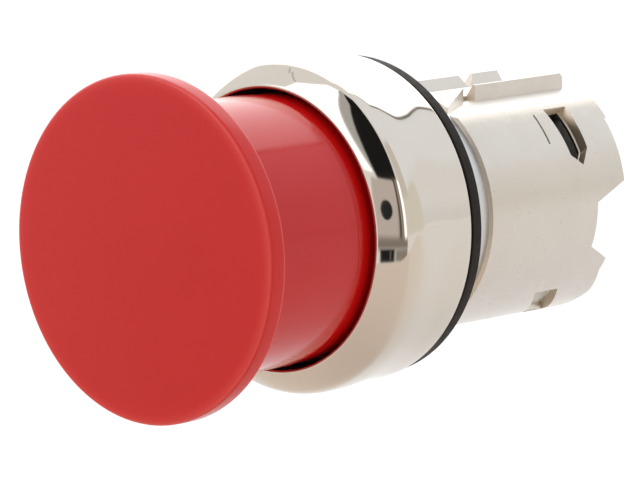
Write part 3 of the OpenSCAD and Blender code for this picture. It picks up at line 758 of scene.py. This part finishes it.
class Studio(Nodes):
    """The world's light by direction: white all round, with bright soft boxes and dark gaps."""

    def __init__(self):
        world = bpy.data.worlds.new("studio")
        bpy.context.scene.world = world
        world.use_nodes = True
        super().__init__(world.node_tree)
        x, y, z = self.parts(self.node("ShaderNodeTexCoord").outputs["Generated"])
        toward = self.math("MULTIPLY", y, -1.0)
        self.azimuth = self.math("DEGREES", self.math("ARCTAN2", x, toward))
        self.elevation = self.math("DEGREES", self.math("ARCSINE", z))
        self.color = WHITE

    def step(self, value, edge, soft):
        """1 where a value lies above an edge, with a soft border in degrees."""
        made = self.node("ShaderNodeMapRange", interpolation_type="SMOOTHSTEP")
        self.link(value, made.inputs["Value"])
        made.inputs["From Min"].default_value = edge - soft / 2
        made.inputs["From Max"].default_value = edge + soft / 2
        return made.outputs["Result"]

    def below(self, value, edge, soft):
        """1 where a value lies below an edge, with a soft border in degrees."""
        return self.opposite(self.step(value, edge, soft))

    def over(self, mask, color):
        """Lays a colour over what is there already."""
        self.color = self.mix("RGBA", mask, self.color, color)

    def panel(self, middle, left, right, low, high, color, soft, lean_left=0.0, lean_right=0.0):
        """A panel by azimuth and elevation; its sides may lean, in degrees per degree of height."""
        turned = self.math("ADD", self.azimuth, 540.0 - middle)
        from_middle = self.math("SUBTRACT", self.math("MODULO", turned, 360.0), 180.0)
        height = self.math("SUBTRACT", self.elevation, (low + high) / 2)
        left_side = self.math("SUBTRACT", from_middle, self.math("MULTIPLY", height, lean_left))
        right_side = self.math("SUBTRACT", from_middle, self.math("MULTIPLY", height, lean_right))
        inside = self.product(
            self.step(left_side, left, soft), self.below(right_side, right, soft),
            self.step(self.elevation, low, soft), self.below(self.elevation, high, soft),
        )
        self.over(inside, color)

    def disc(self, azimuth, elevation, radius, color, soft):
        """A round patch by direction."""
        across = self.math("SUBTRACT", self.azimuth, azimuth)
        across = self.math("MULTIPLY", across, math.cos(math.radians(elevation)))
        up = self.math("SUBTRACT", self.elevation, elevation)
        square = self.math("ADD", self.math("MULTIPLY", across, across), self.math("MULTIPLY", up, up))
        self.over(self.below(self.math("SQRT", square), radius, soft), color)

    def finish(self):
        """The camera itself sees plain white, and everything else the studio."""
        camera_ray = self.node("ShaderNodeLightPath").outputs["Is Camera Ray"]
        back = self.tree.nodes["Background"]
        self.link(self.mix("RGBA", camera_ray, self.color, WHITE), back.inputs["Color"])
        back.inputs["Strength"].default_value = 1.0


def build_studio():
    """Soft boxes, dark gaps and the lens, as the polished bezel in the photograph mirrors them."""
    studio = Studio()
    # Large soft box behind the head on its left
    studio.panel(-140, -43, 43, -6, 80, grey(1.9), soft=2)
    # Wall behind the head on its right: bright at its foot, then a little paler with height
    studio.panel(131, -43, 43, -4, 0, (1.0, 0.99, 0.99), soft=1)
    studio.panel(131, -43, 43, -1, 80, (0.90, 0.91, 0.91), soft=1)
    studio.panel(131, -43, 43, 5, 80, (0.97, 0.98, 0.99), soft=8)
    studio.panel(131, -43, 43, 24, 80, (1.02, 1.06, 1.11), soft=8)
    # Brownish patches on the wall
    studio.panel(112, -27, 27, -3, 20, (0.88, 0.85, 0.77), soft=4)
    studio.panel(95, -15, 18, 18, 52, (0.78, 0.74, 0.69), soft=6)
    # Dark seam between the soft box and the wall
    studio.panel(175.6, -0.9, 0.9, -6, 70, grey(0.25), soft=1)
    # Thin grey edges high on the left
    studio.panel(-79, -4, 6, 52.9, 53.7, grey(0.6), soft=0.6)
    studio.panel(-64, -10, 9, 54.4, 55.2, grey(0.6), soft=0.6)
    # Soft box above the front, lower and upper half
    studio.panel(-20, -35, 40.3, 28, 54, grey(2.0), soft=2, lean_right=-1.11)
    studio.panel(-20, -21, 12.6, 54, 78, grey(2.0), soft=2, lean_left=1.33, lean_right=-1.11)
    # Dark gap above the camera, with a grey border
    studio.panel(44, -37, 30, 25, 84, grey(0.55), soft=4, lean_left=-1.11)
    studio.panel(44, -25, 27, 25, 84, grey(0.015), soft=3, lean_left=-0.65)
    # Narrow bright strip on the camera's right
    studio.panel(77, -4.5, 4.5, -6, 28, grey(1.9), soft=3)
    # Pale surroundings of the camera, with their dark and brown edge
    studio.panel(44, -12, 10, -7, 25, (0.68, 0.61, 0.58), soft=2)
    studio.panel(58, -4, 4, -7, 28, (0.14, 0.11, 0.09), soft=3)
    studio.panel(66, -4, 5, -7, 28, (0.38, 0.33, 0.29), soft=3)
    # Below them the shaded table edge, and under it the camera's black stand with a paler line
    studio.panel(57, -25, 28, -11.5, -5, (0.30, 0.26, 0.23), soft=5)
    studio.panel(43.5, -6.5, 6.5, -18, -11, grey(0.02), soft=2)
    studio.panel(46.3, -0.7, 0.7, -17, -11.5, (0.14, 0.13, 0.12), soft=1)
    studio.panel(67, -16.5, 17, -18, -11, (0.34, 0.30, 0.26), soft=4)
    # Lens
    studio.disc(43.7, 9.1, 5.2, grey(0.03), soft=1)
    studio.finish()


def floor_paper(view_angle):
    """Pale matt paper: white behind the head, pale below it, and painted warm and darker in front of it as
    a warm lit table.
    """
    made = Surface("floor_paper", grey(0.93), roughness=0.9)
    made.shader.inputs["Specular IOR Level"].default_value = 0.0
    depth = made.toward((-math.sin(view_angle), math.cos(view_angle), 0))
    aside = made.math("ABSOLUTE", made.toward((math.cos(view_angle), math.sin(view_angle), 0)))
    front = made.mapped(made.along(), FLOOR_WARM, FLOOR_PALE, 1.0, 0.0, smooth=True)
    near = made.mapped(depth, FLOOR_PALE_FROM, FLOOR_PALE_TO, 1.0, 0.0, smooth=True)
    far = made.mapped(depth, FLOOR_WHITE_FROM, FLOOR_WHITE_TO, 0.0, 1.0, smooth=True)
    middle = made.mapped(aside, FLOOR_SIDE_FROM, FLOOR_SIDE_TO, 1.0, 0.0, smooth=True)
    paper = made.mix("RGBA", made.noise(30.0), grey(0.925), grey(0.935))
    # Painted warm light: the floor towards the camera and in front of the head is warm toned
    tone = made.mix("RGBA", near, (0.83, 0.82, 0.82), (0.79, 0.73, 0.665))
    tone = made.mix("RGBA", front, tone, (0.74, 0.65, 0.58))
    made.color(made.mix("RGBA", made.product(far, middle), tone, paper))
    return made.material


def build_floor():
    """A plain pale floor below the head."""
    low = Vector(cad_box[0]).z - FLOOR_DROP
    back = FLOOR_RADIUS - FLOOR_REACH
    angle = math.radians(VIEW_AZIMUTH)
    mesh = bpy.data.meshes.new("floor")
    work = bmesh.new()
    bmesh.ops.create_circle(work, cap_ends=True, radius=FLOOR_RADIUS, segments=FLOOR_SEGMENTS)
    bmesh.ops.translate(work, verts=work.verts, vec=(-back * math.sin(angle), back * math.cos(angle), low))
    work.to_mesh(mesh)
    work.free()
    floor = bpy.data.objects.new("floor", mesh)
    bpy.context.scene.collection.objects.link(floor)
    mesh.materials.append(floor_paper(angle))


def build_camera():
    """The photograph's view."""
    camera = bpy.data.objects.new("camera", bpy.data.cameras.new("camera"))
    bpy.context.scene.collection.objects.link(camera)
    a, e = math.radians(VIEW_AZIMUTH), math.radians(VIEW_ELEVATION)
    away = Vector((math.sin(a) * math.cos(e), -math.cos(a) * math.cos(e), math.sin(e)))
    camera.location = VIEW_TARGET + away * VIEW_DISTANCE
    camera.rotation_euler = (-away).to_track_quat("-Z", "Y").to_euler()
    camera.data.sensor_fit = "HORIZONTAL"
    camera.data.sensor_width = SENSOR_MM
    camera.data.lens = LENS_MM
    camera.data.clip_start = CLIP_START
    bpy.context.scene.camera = camera


bpy.context.scene.view_settings.view_transform = "Standard"
build_camera()
build_studio()
build_floor()

# One finish for each material slot of the record
finish = {
    "red_plastic": red_plastic(),
    "chrome": polished_nickel(),
    "nickel": satin_nickel(),
    "rubber": rubber(),
    "steel": turned_metal("turned_steel", (0.50, 0.50, 0.51), (0.60, 0.60, 0.60), 0.22, 0.34),
    "spring_steel": turned_metal("spring_steel", (0.42, 0.42, 0.43), (0.52, 0.52, 0.53), 0.18, 0.28),
    "brass": turned_metal("brass", (0.72, 0.52, 0.22), (0.80, 0.60, 0.28), 0.2, 0.32),
    "ivory_plastic": moulded_plastic("ivory_plastic", (0.70, 0.66, 0.54), (0.76, 0.72, 0.60)),
    "black_plastic": moulded_plastic("black_plastic", (0.022, 0.019, 0.017), (0.034, 0.029, 0.026)),
}

# The CAD nodes get their finishes
slot_of = {part["node"]: part["material_slot"] for part in frame["record"]["subparts"]}
for name, node in frame["nodes"].items():
    node.data.materials.clear()
    node.data.materials.append(finish[slot_of[name]])

# Pieces drawn again over their nodes
for piece, node, body in (
    (build_cap(), "mushroom_cap", "plunger"),
    (build_bezel(), "bezel", "head"),
    (build_gasket(), "panel_gasket", "head"),
    (build_wiper(), "dust_wiper", "head"),
):
    piece.data.materials.append(finish[slot_of[node]])
    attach(piece, body)
    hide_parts(node)

soften(frame["nodes"]["barrel"])
